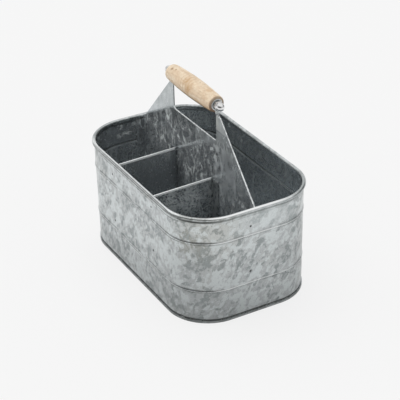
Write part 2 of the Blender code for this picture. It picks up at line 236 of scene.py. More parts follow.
def colour(name, description, default):
    """A property that holds a colour in linear values."""
    return bpy.props.FloatVectorProperty(
        name=name, description=description, default=default, size=3, min=0, max=1, subtype="COLOR"
    )


class TubSizes(bpy.types.PropertyGroup):
    """Sizes of the tub's wall and bottom."""

    corner_radius: length("Corner radius", "Radius of the rolled rim at each corner", 0.056)
    lean: length("Wall lean", "How far the wall leans in from the rim to the bottom", 0.0012)
    sheet: length("Sheet", "Thickness of the sheet", 0.0007)
    clearance: length("Clearance", "Gap between sheets that touch", 0.0003)
    roll: length("Roll radius", "Outer radius of the rolled rim", 0.0024)
    joggle: length("Joggle", "Height of the step under the rolled rim", 0.007)
    bead_low: length("Lower bead", "Height of the lower bead", 0.0425)
    bead_high: length("Upper bead", "Height of the upper bead", 0.1055)
    bead_depth: length("Bead depth", "How far a bead stands out", 0.0007)
    bead_width: length("Bead width", "Width of a bead", 0.0034)
    lap: length("Lap", "Width of the lap seam on the rear wall", 0.012)
    wave: length("Wave", "Height of the hammered-out waves in the sheet", 0.0006)
    dent_width: length("Weld mark width", "Width of a spot weld's dent", 0.0032)
    dent_depth: length("Weld mark depth", "Depth of a spot weld's dent", 0.0005)
    pan_rise: length("Floor height", "Height of the floor's underside", 0.003)
    pan_bend: length("Pan bend", "Outer radius of the pan's folds", 0.0007)


class GripSizes(bpy.types.PropertyGroup):
    """Sizes of the grip and its nuts."""

    bore: length("Bore radius", "Radius of the hole through the grip", 0.0033)
    face: length("Face radius", "Radius of the grip's flat ends", 0.0087)
    shoulder: length("Shoulder radius", "Radius where the rounded ends begin", 0.0101)
    shoulder_length: length("Shoulder length", "Length of each rounded end", 0.0035)
    nut_flats: length("Nut flats", "Width of the nut across its flats", 0.010)
    nut_hex: length("Nut hexagon", "Height of the nut's hexagon", 0.0055)
    nut_height: length("Nut height", "Height of the nut with its dome", 0.012)
    nut_dome: length("Nut dome", "Radius of the nut's dome", 0.0046)
    nut_bore_depth: length("Nut bore", "Depth of the nut's blind bore", 0.0082)


class Finishes(bpy.types.PropertyGroup):
    """Colours of the metal and the wood."""

    zinc: colour("Zinc", "Galvanised sheet outside", (0.47, 0.49, 0.495))
    # Also painted as a reflection of light on the upper end wall.
    zinc_pale: colour("Pale zinc", "Pale blooms in the sheet", (0.61, 0.65, 0.655))
    zinc_dull: colour("Dull zinc", "Dull patches in the sheet", (0.30, 0.33, 0.332))
    zinc_warm: colour("Warm zinc", "Warm patches in the sheet", (0.55, 0.555, 0.515))
    zinc_brown: colour("Brown zinc", "Dull flakes in the warm patches", (0.31, 0.315, 0.29))
    # Used for rubbing on the rim's top, and as a painted highlight there, on the bead tops and at the far roll's foot.
    rubbed: colour("Rubbed zinc", "Rubbed top of the rolled rim", (0.90, 0.92, 0.92))
    # Used for weld marks, and for painted shade at the beads, rim, seam, foot, corners, joints and round the nuts.
    zinc_dirt: colour("Dirt", "Dirt beside the beads and at the foot", (0.10, 0.105, 0.10))
    aged: colour("Aged zinc", "Aged sheet inside", (0.62, 0.655, 0.675))
    aged_dark: colour("Dark aged zinc", "Dark patches inside", (0.51, 0.54, 0.56))
    # Also painted as highlight lines just under the beads inside.
    aged_pale: colour("Pale aged zinc", "Frosted streaks inside", (0.75, 0.79, 0.79))
    wood: colour("Wood", "Sanded wood", (0.68, 0.50, 0.33))
    wood_pale: colour("Pale wood", "Pale wood between the grain", (0.81, 0.68, 0.51))
    # Also painted as shade on the grip's underside and far side.
    wood_dark: colour("Dark wood", "Grain, knots and stains", (0.36, 0.22, 0.11))
    # Used for real stains, and as painted shade on the grip's lower half.
    wood_stain: colour("Wood stain", "Orange brown stains in the wood", (0.50, 0.29, 0.12))
    # Dark end grain, also painted as shade on the ends' lower part and under the grip's rear.
    wood_burnt: colour("Burnt wood", "The grip's flat ends", (0.17, 0.11, 0.07))
    # Used for edges bright from rubbing and for brush marks, and as a painted highlight on the hems, the front eye's
    # rim and the rear nut.
    edge: colour("Edge", "Rubbed edges of the dividers", (0.85, 0.88, 0.88))
    chrome: colour("Chrome", "Bright plated steel", (0.98, 0.98, 0.97))
    wire: colour("Wire", "Plain drawn steel", (0.42, 0.42, 0.42))


class StageSettings(bpy.types.PropertyGroup):
    """The camera, the light and the backdrop."""

    azimuth: angle("Azimuth", "Turn of the camera", 61.225)
    elevation: angle("Elevation", "Height of the camera", 29.683)
    roll: angle("Roll", "Tilt of the picture", -1.333)
    distance: length("Distance", "From the camera to the point that it looks at", 1.62558)
    target: bpy.props.FloatVectorProperty(
        name="Target", description="Point that the camera looks at", default=(0.01358, -0.0029, 0.08813),
        precision=5, subtype="TRANSLATION"
    )
    focal_pixels: number("Focal length", "Focal length in pixels of a 400 pixel picture", 1369.7)
    backdrop: share("Backdrop", "Level of the pale backdrop", 0.922)
    floor: share("Floor", "Lightness of the floor", 0.85)
    floor_glow: share("Floor glow", "Share of the floor that shows at the backdrop's level", 0.87)
    floor_mirror_glow: share("Mirrored floor glow", "The same share in the floor's reflection", 0.1)
    room: share("Room", "Level of the dim room that metal mirrors near the horizon", 0.14)
    side: share("Side", "Level of the side wall that metal mirrors", 0.62)
    ceiling: share("Ceiling", "Level of the ceiling that metal mirrors", 0.92)
    sky: number("Sky", "Strength of the soft light all round", 0.70)
    lamp: number("Lamp", "Strength of the overhead lamp", 1.4)


def settings(group):
    """The property group of that name in the scene."""
    return getattr(bpy.context.scene, "storage_box_" + group)


class Link:
    """A shader socket that Python arithmetic works on. Each step adds its Math node."""

    def __init__(self, shader, socket):
        self.shader = shader
        self.socket = socket

    def math(self, operation, other, swapped=False):
        """The Math node of this value and another."""
        first, second = (other, self) if swapped else (self, other)
        return self.shader.node("Math", {0: first, 1: second}, operation=operation)

    def __add__(self, other):
        return self.math("ADD", other)

    def __sub__(self, other):
        return self.math("SUBTRACT", other)

    def __mul__(self, other):
        return self.math("MULTIPLY", other)

    __radd__ = __add__
    __rmul__ = __mul__

    def __rsub__(self, other):
        return self.math("SUBTRACT", other, swapped=True)

    def __abs__(self):
        return self.math("ABSOLUTE", 0)

    def larger(self, other):
        """The larger of this value and another."""
        return self.math("MAXIMUM", other)

    def smaller(self, other):
        """The smaller of this value and another."""
        return self.math("MINIMUM", other)

    def step(self, low, high):
        """0 below low, 1 above high, and smooth between."""
        stops = {"From Min": low, "From Max": high, "To Min": 0, "To Max": 1}
        return self.shader.node("MapRange", {"Value": self, **stops}, interpolation_type="SMOOTHSTEP")

    def fall(self, low, high):
        """1 below low, 0 above high, and smooth between."""
        return 1 - self.step(low, high)

    def band(self, middle, core, reach):
        """1 within core of a middle value, 0 beyond reach, and smooth between."""
        return abs(self - middle).fall(core, reach)


class Nodes:
    """A node tree, whose nodes all come from one method."""

    def __init__(self, tree):
        self.tree = tree

    def node(self, kind, inputs=None, output=0, **options):
        """Add a node, set its options, then its sockets, and give one of its outputs."""
        node = self.tree.nodes.new("ShaderNode" + kind)
        for option, value in options.items():
            setattr(node, option, value)
        for socket, value in (inputs or {}).items():
            self.feed(node.inputs[socket], value)
        return Link(self, node.outputs[output])

    def feed(self, socket, value):
        """Link a value to a socket, or set a plain one. A colour can go by its name in the finishes."""
        if isinstance(value, str):
            value = getattr(settings("finishes"), value)
        if isinstance(value, Link):
            self.tree.links.new(value.socket, socket)
        elif hasattr(value, "__len__") and socket.type == "RGBA":
            socket.default_value = (*value, 1)
        else:
            socket.default_value = value

    def mix(self, factor, first, second):
        """A colour between two, by a factor."""
        return self.node("Mix", {0: factor, 6: first, 7: second}, output=2, data_type="RGBA")

    def part(self, vector, name):
        """One coordinate of a vector."""
        return self.node("SeparateXYZ", {"Vector": vector}, output=name)

    def ray(self, kind):
        """1 where a ray of that kind looks, and 0 elsewhere."""
        return self.node("LightPath", output="Is " + kind + " Ray")


class Shader(Nodes):
    """A new material with patterns on Object coordinates."""

    def __init__(self, name):
        self.material = bpy.data.materials.new(name)
        self.material.use_nodes = True
        super().__init__(self.material.node_tree)
        self.surface = self.tree.nodes["Principled BSDF"]
        self.place = self.node("TexCoord", output="Object")
        self.colour = (0.5, 0.5, 0.5)

    def axes(self):
        """The object coordinates along X, Y and Z."""
        return [self.part(self.place, name) for name in "XYZ"]

    def coat(self, factor, coating):
        """Cover the colour so far with another one, by a factor."""
        self.colour = self.mix(factor, self.colour, coating)

    def mapped(self, shift=(0, 0, 0), turn=(0, 0, 0), scale=(1, 1, 1), kind="POINT"):
        """Object coordinates that are shifted, turned and stretched."""
        inputs = {"Vector": self.place, "Location": shift, "Rotation": turn, "Scale": scale}
        return self.node("Mapping", inputs, vector_type=kind)

    def leaning(self, stretch, turn, shift):
        """Object coordinates whose patterns are stretched along a leaning Z axis."""
        return self.mapped(shift, turn, (1, 1, stretch), "TEXTURE")

    def noise(self, place, scale, detail, roughness, distortion=0):
        """Cloudy noise round 0.5, at that many cells to the metre."""
        inputs = {"Vector": place, "Scale": scale, "Detail": detail, "Roughness": roughness}
        return self.node("TexNoise", {**inputs, "Distortion": distortion}, output="Fac")

    def ragged(self, place, scale, amount, detail=4):
        """Coordinates that are pushed about by noise, so that what follows gets ragged edges."""
        push = self.node("TexNoise", {"Vector": place, "Scale": scale, "Detail": detail}, output="Color")
        centred = self.node("VectorMath", {0: push, 1: (0.5, 0.5, 0.5)}, operation="SUBTRACT")
        pushed = self.node("VectorMath", {0: centred, "Scale": amount}, operation="SCALE")
        return self.node("VectorMath", {0: place, 1: pushed}, operation="ADD")

    def cells(self, place, scale):
        """A random value for each crystal-like cell."""
        tint = self.node("TexVoronoi", {"Vector": place, "Scale": scale}, output="Color")
        return self.node("SeparateColor", {"Color": tint}, output="Red")

    def threads(self, place, scale, width, distortion):
        """Thin wandering lines."""
        return self.noise(place, scale, 4, 0.6, distortion).band(0.5, 0, width)

    def away(self, place, target):
        """The distance from one place to another."""
        return self.node("VectorMath", {0: place, 1: target}, output="Value", operation="DISTANCE")

    def spot(self, x, y, z, core, reach):
        """1 in the core of a round place, and 0 beyond its reach, all in millimetres."""
        return self.away(self.place, (x / 1000, y / 1000, z / 1000)).fall(core / 1000, reach / 1000)

    def placed(self, places, core=0.2):
        """A sum of round places, each with its own reach, a share of which is its core."""
        total = 0
        for *place, reach in places:
            total += self.spot(*place, reach * core, reach)
        return total

    def bump(self, height, distance, strength=1.0):
        """Feed the normal from a height in metres per unit."""
        normal = self.node("Bump", {"Height": height, "Distance": distance, "Strength": strength})
        self.feed(self.surface.inputs["Normal"], normal)

    def finish(self, roughness, metallic, gloss=0.5):
        """Feed the colour so far, the roughness, the share of metal and the level of plain gloss."""
        values = {"Base Color": self.colour, "Roughness": roughness, "Metallic": metallic}
        for name, value in {**values, "Specular IOR Level": gloss}.items():
            self.feed(self.surface.inputs[name], value)


def crystal_tone(zinc, shift):
    """A tone round 0.5 that steps from flake to flake, as zinc crystals do, with feathered edges."""
    slanted = zinc.leaning(1.5, (-0.6, 0.3, 0), shift)
    feathered = zinc.ragged(zinc.ragged(slanted, 42, 0.020, 6), 300, 0.006, 3)
    large = zinc.cells(feathered, 58)
    middle = zinc.cells(feathered, 160)
    small = zinc.cells(zinc.ragged(slanted, 340, 0.005, 2), 300)
    clouds = zinc.noise(slanted, 34, 8, 0.72, 1.3)
    feathers = zinc.noise(zinc.leaning(3.0, (-0.75, 0.35, 0), shift), 140, 6, 0.68, 1.2)
    return large * 0.16 + middle * 0.23 + small * 0.15 + feathers * 0.22 + clouds * 0.24


def galvanised_outside(zinc):
    """Mottled galvanised sheet: dull flakes, pale blooms, warm tints, wisps, weld marks, and painted shade and
    highlights at the beads, rim, seam, foot and corners.
    """
    tub = settings("tub")
    along, across, height = zinc.axes()
    tone = crystal_tone(zinc, (0.3, 0.1, 0.2)) + zinc.placed(BLOOMS) * BLOOM - zinc.placed(STAINS) * STAIN
    warmth = zinc.noise(zinc.mapped((0.1, 0.8, 0.5)), 13, 4, 0.6).step(0.52, 0.70)
    wisps = zinc.threads(zinc.mapped((0.5, 0.3, 0.1)), 85, 0.03, 2.4)
    speckle = zinc.noise(zinc.mapped((0.9, 0.4, 0.6)), 420, 3, 0.7).step(0.60, 0.70)
    # Painted shade at the near corner and the far corner of the end wall.
    shade = zinc.spot(128, -77, 30, 10, 95) + zinc.spot(128, 77, 70, 0, 85)
    shade += zinc.spot(122, -77, 80, 0, 50) * 0.45
    at_end = along.step(0.128, 0.136)
    # Painted reflection: the upper part of the end wall made paler.
    top_glow = at_end * height.step(0.100, 0.118) * zinc.spot(138, 10, 120, 20, 60)
    sunned = zinc.spot(133, -55, 125, 5, 60)
    tint = (warmth * 0.25 + sunned * 0.5).smaller(1)
    dull = zinc.mix(tint, "zinc_dull", "zinc_brown")
    zinc.colour = zinc.mix(tone.step(0.38, 0.46), dull, zinc.mix(tint, "zinc", "zinc_warm"))
    zinc.coat(tone.step(0.51, 0.58) * (1 - tint * 0.5), "zinc_pale")
    flakes = zinc.noise(zinc.leaning(2.0, (0.4, -0.2, 0), (0.8, 0.3, 0.6)), 130, 6, 0.7, 1.5).step(0.50, 0.58)
    zinc.coat(flakes * zinc.spot(118, -80, 108, 10, 45) * 0.85, "zinc_brown")
    zinc.coat(wisps * 0.32 + top_glow * 0.35, "zinc_pale")
    zinc.coat(speckle * 0.4, "zinc_dull")
    corner = zinc.spot(126, -75, 130, 8, 55)
    dulled = zinc.spot(115, 65, RIM * 1000, 10, 45) + zinc.spot(-120, -65, RIM * 1000, 10, 50)
    dulled *= height.step(RIM - tub.joggle, RIM - tub.roll * 2)
    zinc.coat(dulled * 0.7, "zinc_dull")
    # The rim's top: rubbing all round, stronger at the end and near side, where it is also a painted highlight.
    worn = at_end * across.fall(0.02, 0.06) * 0.8 + across.fall(-0.085, -0.078) * 0.4
    rubbed = height.step(RIM - tub.roll * 0.75, RIM - tub.roll * 0.35) * (worn + 0.15).smaller(1)
    zinc.coat(rubbed, "rubbed")
    # Painted shade: dark lines on both sides of each bead and at the joggle.
    dirt = 0
    for line in (tub.bead_low, tub.bead_high, RIM - tub.joggle):
        for side in (-1, 1):
            foot = line + side * tub.bead_width * 0.55
            dirt += height.band(foot, 0.0002, 0.0010)
    dirt = dirt * zinc.noise(zinc.place, 40, 3, 0.6).step(0.30, 0.62) * (1.2 - at_end * 0.7)
    # Painted shade and reflection: dark lines along the near side's roll.
    near = across.fall(-0.086, -0.078) * along.step(-0.11, -0.04)
    crease = across.band(tub.roll * 0.42 - TUB_HIGH.y, 0.0002, 0.0006)
    dirt += crease * near * height.step(RIM - 0.0015, RIM - 0.0010) * 1.3
    dirt += near * height.band(RIM - tub.roll, 0.0003, 0.0010) * 1.1
    # The roll's foot: a painted highlight on the far side and painted shade on the near side.
    roll_foot = height.fall(RIM - tub.roll * 0.9, RIM - tub.roll * 0.35)
    roll_foot *= height.step(RIM - tub.joggle, RIM - tub.joggle * 0.8)
    zinc.coat(roll_foot * across.step(0.080, 0.084) * 0.5, "rubbed")
    dirt += roll_foot * across.fall(-0.086, -0.082) * (0.7 - near * 0.35)
    # Painted shade under and along the roll, strongest at the near corner.
    under_roll = height.band(RIM - tub.roll * 2 - 0.0012, 0.0006, 0.0022)
    roll_side = height.band(RIM - tub.roll * 1.35, 0.0006, 0.0014)
    roll_line = height.band(RIM - tub.roll * 0.55, 0.0002, 0.0006)
    dirt += under_roll * (0.80 + corner * 0.85) * (1 - near * 0.7)
    dirt += roll_side * (near * 0.35 + corner) * 0.7 + roll_line * corner * 1.3
    for place in weld_places():
        dirt += zinc.away(zinc.place, place).fall(tub.dent_width * 0.25, tub.dent_width * 0.6) * 1.8
    # Painted shade in the seam's crevice above the pan, and on the pan's edge below it.
    dirt += height.band(PAN_TOP + 0.0005, 0.0005, 0.0016) * 1.7
    dirt += height.fall(PAN_TOP - 0.0002, PAN_TOP) * 0.6
    zinc.coat((dirt * 0.55).smaller(0.9), "zinc_dirt")
    # Painted shade: darker towards the foot and at the corners.
    zinc.coat(height.fall(0.0, 0.07) * 0.14 + (shade * 0.25).smaller(0.4), "zinc_dirt")
    # Painted highlight on the upper side of each bead, strongest on the end wall.
    crest = 0
    for line, strength in ((tub.bead_low, 0.7), (tub.bead_high, 1.0)):
        crest += height.band(line + 0.0004, 0.0003, 0.0010) * strength
    lit = at_end * (1 - across.step(0.020, 0.060) * 0.85)
    zinc.coat(crest * (0.15 + lit * 0.55), "rubbed")
    # Painted highlight: the roll's inner top made less metallic, so that it shows paler.
    inner = across.step(-0.0872, -0.0862) * across.fall(-0.080, -0.078) * rubbed
    roughness = 0.32 - tone * 0.16 + dirt * 0.1 - rubbed * 0.16
    zinc.finish(roughness, 0.92 - inner * 1.2)
    zinc.bump(zinc.noise(zinc.place, 45, 3, 0.5) + zinc.noise(zinc.place, 400, 2, 0.5) * 0.06, 0.0006, 0.6)


def frost(zinc, shift, stretch, scale, lean=0.1):
    """Soft pale patches with fine scratches in them."""
    brushed = zinc.mapped(shift, turn=(lean, 0.32, 0), scale=(1, 1, stretch))
    smudge = zinc.noise(brushed, scale, 5, 0.62, 1.4).step(0.48, 0.74)
    scratch = zinc.noise(brushed, scale * 3, 2, 0.6, 0.8).step(0.52, 0.68)
    patchy = zinc.noise(zinc.mapped(shift), 34, 3, 0.6).step(0.34, 0.58)
    return (smudge * 0.9 + scratch * 0.35) * (0.45 + patchy * 0.55)


def aged_sheet(zinc, lip, lines, slope=0.0):
    """Aged zinc with frost-like pale patches, painted shade at the beads, the joints and under the rim, painted
    highlight lines under the beads, and a bright lip from rubbing and painted highlight.
    """
    along, across, height = zinc.axes()
    tone = crystal_tone(zinc, (0.7, 0.2, 0.4))
    handled = zinc.spot(47, -58, 115, 10, 55)
    handled = zinc.noise(zinc.place, 24, 4, 0.6).step(0.36, 0.68) * 1.6 + handled * 0.6
    far = across.step(0.045, 0.075)
    quiet = far * 0.6 + zinc.spot(-137, -30, 120, 10, 35)
    quiet = (zinc.spot(-46.5, -30, 112, 20, 60) * 0.8 + quiet).smaller(0.9)
    wisps = zinc.threads(zinc.mapped((0.2, 0.6, 0.3)), 85, 0.05, 2.0)
    smudges = (frost(zinc, (0.2, 0.6, 0.3), 0.3, 80, -0.7) * 0.65 + wisps * 0.45) * handled * (1 - quiet)
    specks = zinc.noise(zinc.mapped((0.5, 0.1, 0.8)), 300, 2, 0.5).step(0.66, 0.74)
    smudges = smudges * 0.9 + specks * 0.25
    leaning = zinc.mapped((0.1, 0.4, 0.7), turn=(-0.5, 0, 0), scale=(1, 1, 1.6))
    strokes = zinc.threads(leaning, 75, 0.055, 2.4)
    smudges += zinc.placed(DINGS) * strokes * DING
    zinc.colour = zinc.mix(tone.step(0.25, 0.75), "aged_dark", "aged")
    zinc.coat(zinc.spot(-75, 86, 120, 5, 50) * 0.35, "aged_pale")
    away = abs(across)
    # Painted shade beside the centre plate.
    shade = away.fall(0.002, 0.020) * 0.12 + away.fall(0.001, 0.0035) * 0.25
    strength = 0.85 - far * along.step(0, 0.09) * 0.6
    # Painted shade along each bead line, and a painted highlight line just under it.
    for line in lines:
        shade += height.band(line, 0.0005, 0.0016) * strength
        smudges += height.band(line - 0.0024, 0.0003, 0.0012) * 0.3
    zinc.coat(smudges.smaller(1), "aged_pale")
    # Painted shade under the rim, towards the rear.
    shade += height.band(RIM - 0.0058, 0.0010, 0.0030) * along.fall(-0.132, -0.09) * 0.75
    # The lip: rubbing and a painted highlight, also made less metallic.
    rubbed = (height - across * slope).step(lip, lip + 0.0010) * away.step(0.0025, 0.0035)
    zinc.coat((shade * (1 - rubbed)).smaller(0.95), "zinc_dirt")
    zinc.coat(rubbed, "edge")
    zinc.finish(0.24 + smudges * 0.35, 0.90 - smudges * 0.6 - rubbed * 0.85)
    zinc.bump(zinc.noise(zinc.place, 60, 3, 0.5), 0.0005, 0.5)


def galvanised_inside(zinc):
    """The aged inner face of the tub."""
    tub = settings("tub")
    aged_sheet(zinc, 1, (tub.bead_low, tub.bead_high))


def cross_sheet(zinc):
    """The aged sheet of the cross dividers, bright along the hem from rubbing and a painted highlight."""
    low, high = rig.box("cross_divider_rear")
    aged_sheet(zinc, high.z - 0.0030 - low.y * DIVIDER_SLOPE, (), DIVIDER_SLOPE)


def divider_sheet(zinc):
    """The centre plate's glossier sheet, with soft frost-like streaks, a warm front neck from wear, a painted
    highlight round the front eye's rim, and painted shade round its nut.
    """
    along, across, height = zinc.axes()
    tone = crystal_tone(zinc, (0.9, 0.5, 0.1))
    front = along.step(0, 0.001)
    arm = height.step(0.150, 0.185)
    streaks = frost(zinc, (0.4, 0.1, 0.3), 0.55, 100) + frost(zinc, (0.1, 0.7, 0.2), 0.6, 50) * 0.75
    density = (zinc.placed(STREAKED) * STREAK - zinc.placed(CALM) * LULL + 1).larger(0)
    streaks *= (1 - height.step(0.165, 0.185) * 0.5) * density
    upright = zinc.mapped((0.3, 0.8, 0.5), turn=(0, 0.3, 0), scale=(1, 1, 0.3))
    scratches = zinc.threads(upright, 110, 0.035, 1.6)
    streaks += scratches * (1 - arm) * 0.22
    zinc.colour = zinc.mix(tone.step(0.34, 0.66), "aged_dark", "aged")
    worn = zinc.noise(zinc.mapped((0.6, 0.2, 0.9), scale=(1, 1, 0.4)), 70, 4, 0.6).step(0.40, 0.62)
    zinc.coat(arm * (0.80 - worn * 0.30), "zinc_dull")
    zinc.coat((streaks * 0.9).smaller(1), "aged_pale")
    neck = height.step(0.1965, 0.1985) * front
    brushed = zinc.noise(zinc.mapped((0.2, 0.1, 0.4), scale=(1, 1, 0.1)), 330, 2, 0.6).step(0.44, 0.60)
    zinc.coat(brushed * arm * 0.16, "edge")
    streaks += height.step(0.160, 0.180) * front * 0.35 + neck * 0.1
    zinc.coat(neck * (0.1 + worn * 0.45), "zinc_warm")
    upwards = height - HANDLE_AXIS
    eye = upwards.step(-0.013, -0.010)
    # Painted highlight round the front eye's rim.
    ring = upwards.step(-0.0068, -0.0050) * front
    zinc.coat(ring * 0.7, "edge")
    # Painted shade round the front nut's seat.
    radius = (across * across + upwards * upwards).math("SQRT", 0)
    zinc.coat(front * radius.fall(0.0058, 0.0063) * 0.8, "zinc_dirt")
    marks = zinc.noise(zinc.place, 330, 3, 0.6).step(0.45, 0.60)
    zinc.coat(eye * (0.15 + marks * 0.55) * (1 - ring * 0.7), "zinc_dull")
    clouded = zinc.spot(70, 0, 145, 18, 45)
    zinc.coat(clouded * 0.35, "aged_dark")
    roughness = 0.09 + streaks * 0.30 + neck * 0.15 + clouded * 0.17
    zinc.finish(roughness, 0.84 - streaks * 0.6 - neck * 0.08)
    zinc.bump(zinc.noise(zinc.place, 25, 2, 0.5), 0.0008, 0.35)


def rubbed_edge(zinc):
    """The bright edges of the sheet dividers, from rubbing and painted as a highlight."""
    worn = zinc.noise(zinc.place, 220, 4, 0.65).step(0.36, 0.60)
    zinc.colour = zinc.mix(worn, "zinc", "edge")
    zinc.finish(0.30 - worn * 0.08, 0.85)


def sanded_wood(wood):
    """Pale close-grained wood with brown streaks, burls, small knots, dark end grain, and painted shade on the ends,
    the underside and the far side.
    """
    along, across, height = wood.axes()
    rise = height - HANDLE_AXIS
    fibres = wood.ragged(wood.mapped((0, 0.05, -0.03), scale=(0.12, 1, 1)), 60, 0.004)
    grain = wood.noise(fibres, 420, 5, 0.65, 0.4).step(0.42, 0.68)
    rear = (0.03 - along).step(0.02, 0.09)
    bands = wood.noise(wood.mapped(turn=(0, 0, 0.5), scale=(0.35, 1, 1)), 95, 5, 0.6, 1.4).step(0.42, 0.62)
    burl = wood.noise(wood.mapped((0.21, 0.4, 0.1)), 62, 5, 0.65, 1.8).step(0.56, 0.70)
    flecks = wood.noise(wood.mapped(scale=(0.5, 1, 1)), 700, 2, 0.5).step(0.66, 0.74)
    wood.colour = wood.mix(bands * (0.75 - rear * 0.4), "wood_pale", "wood")
    crossing = wood.mapped((0.3, 0.7, 0.1), turn=(0, 0, 0.3), scale=(1.6, 0.5, 0.5))
    lines = wood.threads(crossing, 130, 0.03, 0.8)
    wood.coat(grain * 0.26 + burl * 0.16 + lines * 0.18, "wood_dark")
    stain = wood.spot(5, -11.2, 232.2, 1, 9) * 1.8
    stain += wood.spot(-3, -7, 239, 2, 9) + wood.spot(35.8, 1, 240.4, 1, 6)
    arcs = wood.threads(wood.mapped(turn=(0, 0, 0.4), scale=(1, 0.55, 0.55)), 75, 0.035, 1.2)
    around = wood.away(wood.ragged(wood.place, 90, 0.006), (0.032, -0.004, 0.241))
    rings = (around * 1150).math("SINE", 0).step(0.55, 0.98)
    rings *= wood.spot(-4, -8, 236.5, 6, 24)
    wood.coat(arcs * 0.22 + rings * 0.50, "wood_stain")
    wood.coat((stain * (0.40 + arcs * 0.5 + burl * 0.5)).smaller(1) * 0.9, "wood_stain")
    knots = wood.placed(KNOTS, 0.3)
    wood.coat((knots * 0.90 + flecks * 0.35).smaller(1), "wood_dark")
    ends = abs(along).step(GRIP_HIGH.x - 0.0012, GRIP_HIGH.x - 0.0003)
    # Painted shade: the lower half stained darker, then the underside and the far side darker still.
    wood.coat(rise.fall(-0.0075, 0.002) * 0.30, "wood_stain")
    worn = rise.fall(-0.0076, -0.0036) * 0.90 + across.step(0.0068, 0.0100) * 0.28
    wood.coat(worn, "wood_dark")
    # The dark end grain, with painted shade on its lower part and under the grip's rear.
    beneath = rise.fall(-0.0066, -0.0042) * along.step(-0.045, -0.020)
    charred = ends * (0.95 - rise.step(-0.004, 0.008) * 0.40) + beneath * 0.8
    wood.coat(charred.smaller(0.95), "wood_burnt")
    wood.finish(0.46 + grain * 0.1, 0.0)
    wood.bump(grain + knots * 2, 0.00010, 0.5)


def bright_plating(plating):
    """Bright plated steel with the faintest haze, painted shade on the -Y side of each nut, and the rear nut painted
    pale as a highlight.
    """
    along, across = plating.axes()[:2]
    haze = plating.noise(plating.place, 300, 3, 0.5)
    # Painted highlight: the rear nut paler, rougher and less metallic.
    frosted = along.fall(-0.001, 0.001)
    # Painted shade on the -Y side of each nut.
    turned = across.fall(-0.0034, -0.0022)
    plating.colour = plating.mix(turned * 0.88, "chrome", "zinc_dirt")
    plating.coat(frosted, "edge")
    plating.finish(0.02 + haze * 0.03 + frosted * 0.2, 1 - frosted * 0.6)


def drawn_steel(steel):
    """Plain drawn steel with fine marks along it."""
    marks = steel.noise(steel.mapped(scale=(0.1, 1, 1)), 900, 3, 0.6)
    steel.colour = "wire"
    steel.finish(0.25 + marks * 0.25, 1.0)


def material(name):
    """The material of that name, filled in by the function of that name when it is first asked for."""
    if name not in bpy.data.materials:
        globals()[name](Shader(name))
    return bpy.data.materials[name]


def deselect_everything():
    """Leave edit mode and clear the selection."""
    if bpy.context.object and bpy.context.object.mode != "OBJECT":
        bpy.ops.object.mode_set(mode="OBJECT")
    bpy.ops.object.select_all(action="DESELECT")


def pick(piece):
    """Select one piece alone, and make it the active one."""
    deselect_everything()
    piece.select_set(True)
    bpy.context.view_layer.objects.active = piece


def start_point(name, place):
    """Start a piece as a single point: a small square, merged, at a place."""
    deselect_everything()
    bpy.ops.mesh.primitive_plane_add(size=0.01)
    piece = bpy.context.object
    piece.name = piece.data.name = name
    bpy.ops.object.mode_set(mode="EDIT")
    bpy.ops.mesh.select_mode(type="VERT")
    bpy.ops.mesh.select_all(action="SELECT")
    bpy.ops.mesh.merge(type="CENTER")
    bpy.ops.transform.translate(value=place)
    return piece


def extrude(step):
    """Extrude what is selected by a step."""
    bpy.ops.mesh.extrude_region_move(TRANSFORM_OT_translate={"value": step})


def draw_line(name, points):
    """Start a piece as a line, extruded from point to point."""
    piece = start_point(name, points[0])
    for before, after in zip(points, points[1:]):
        extrude(Vector(after) - Vector(before))
    bpy.ops.mesh.select_all(action="SELECT")
    return piece


def spread(start, end, count):
    """Even steps between two values, with both ends."""
    return [start + (end - start) * step / count for step in range(count + 1)]


def arc(centre, radius, start, end, steps):
    """Points of a round stretch between two angles in degrees."""
    turns = [math.radians(degrees) for degrees in spread(start, end, steps)]
    return [(centre[0] + radius * math.cos(turn), centre[1] + radius * math.sin(turn)) for turn in turns]


def select_only(piece, kind, chosen):
    """Select the faces or edges that pass a test, and nothing else, in edit mode."""
    bpy.ops.mesh.select_mode(type=kind)
    bpy.ops.mesh.select_all(action="DESELECT")
    mesh = bmesh.from_edit_mesh(piece.data)
    for element in mesh.faces if kind == "FACE" else mesh.edges:
        if chosen(element):
            element.select_set(True)
    bmesh.update_edit_mesh(piece.data)


def close_surface():
    """Merge doubles and turn all faces outwards, in edit mode."""
    bpy.ops.mesh.select_all(action="SELECT")
    bpy.ops.mesh.remove_doubles(threshold=MERGE)
    bpy.ops.mesh.normals_make_consistent(inside=False)


def finish_modifier(piece, kind, **options):
    """Add a modifier, set it and apply it, in object mode."""
    pick(piece)
    modifier = piece.modifiers.new(kind.lower(), kind)
    for option, value in options.items():
        setattr(modifier, option, value)
    bpy.ops.object.modifier_apply(modifier=modifier.name)


def dress(piece, body, slot, *materials):
    """Smooth the piece, give it its materials and its place in the frame."""
    pick(piece)
    bpy.ops.object.shade_smooth_by_angle(angle=SMOOTH_ANGLE)
    for name in materials:
        piece.data.materials.append(material(name))
    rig.ride(piece, body)
    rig.slot(piece, slot)


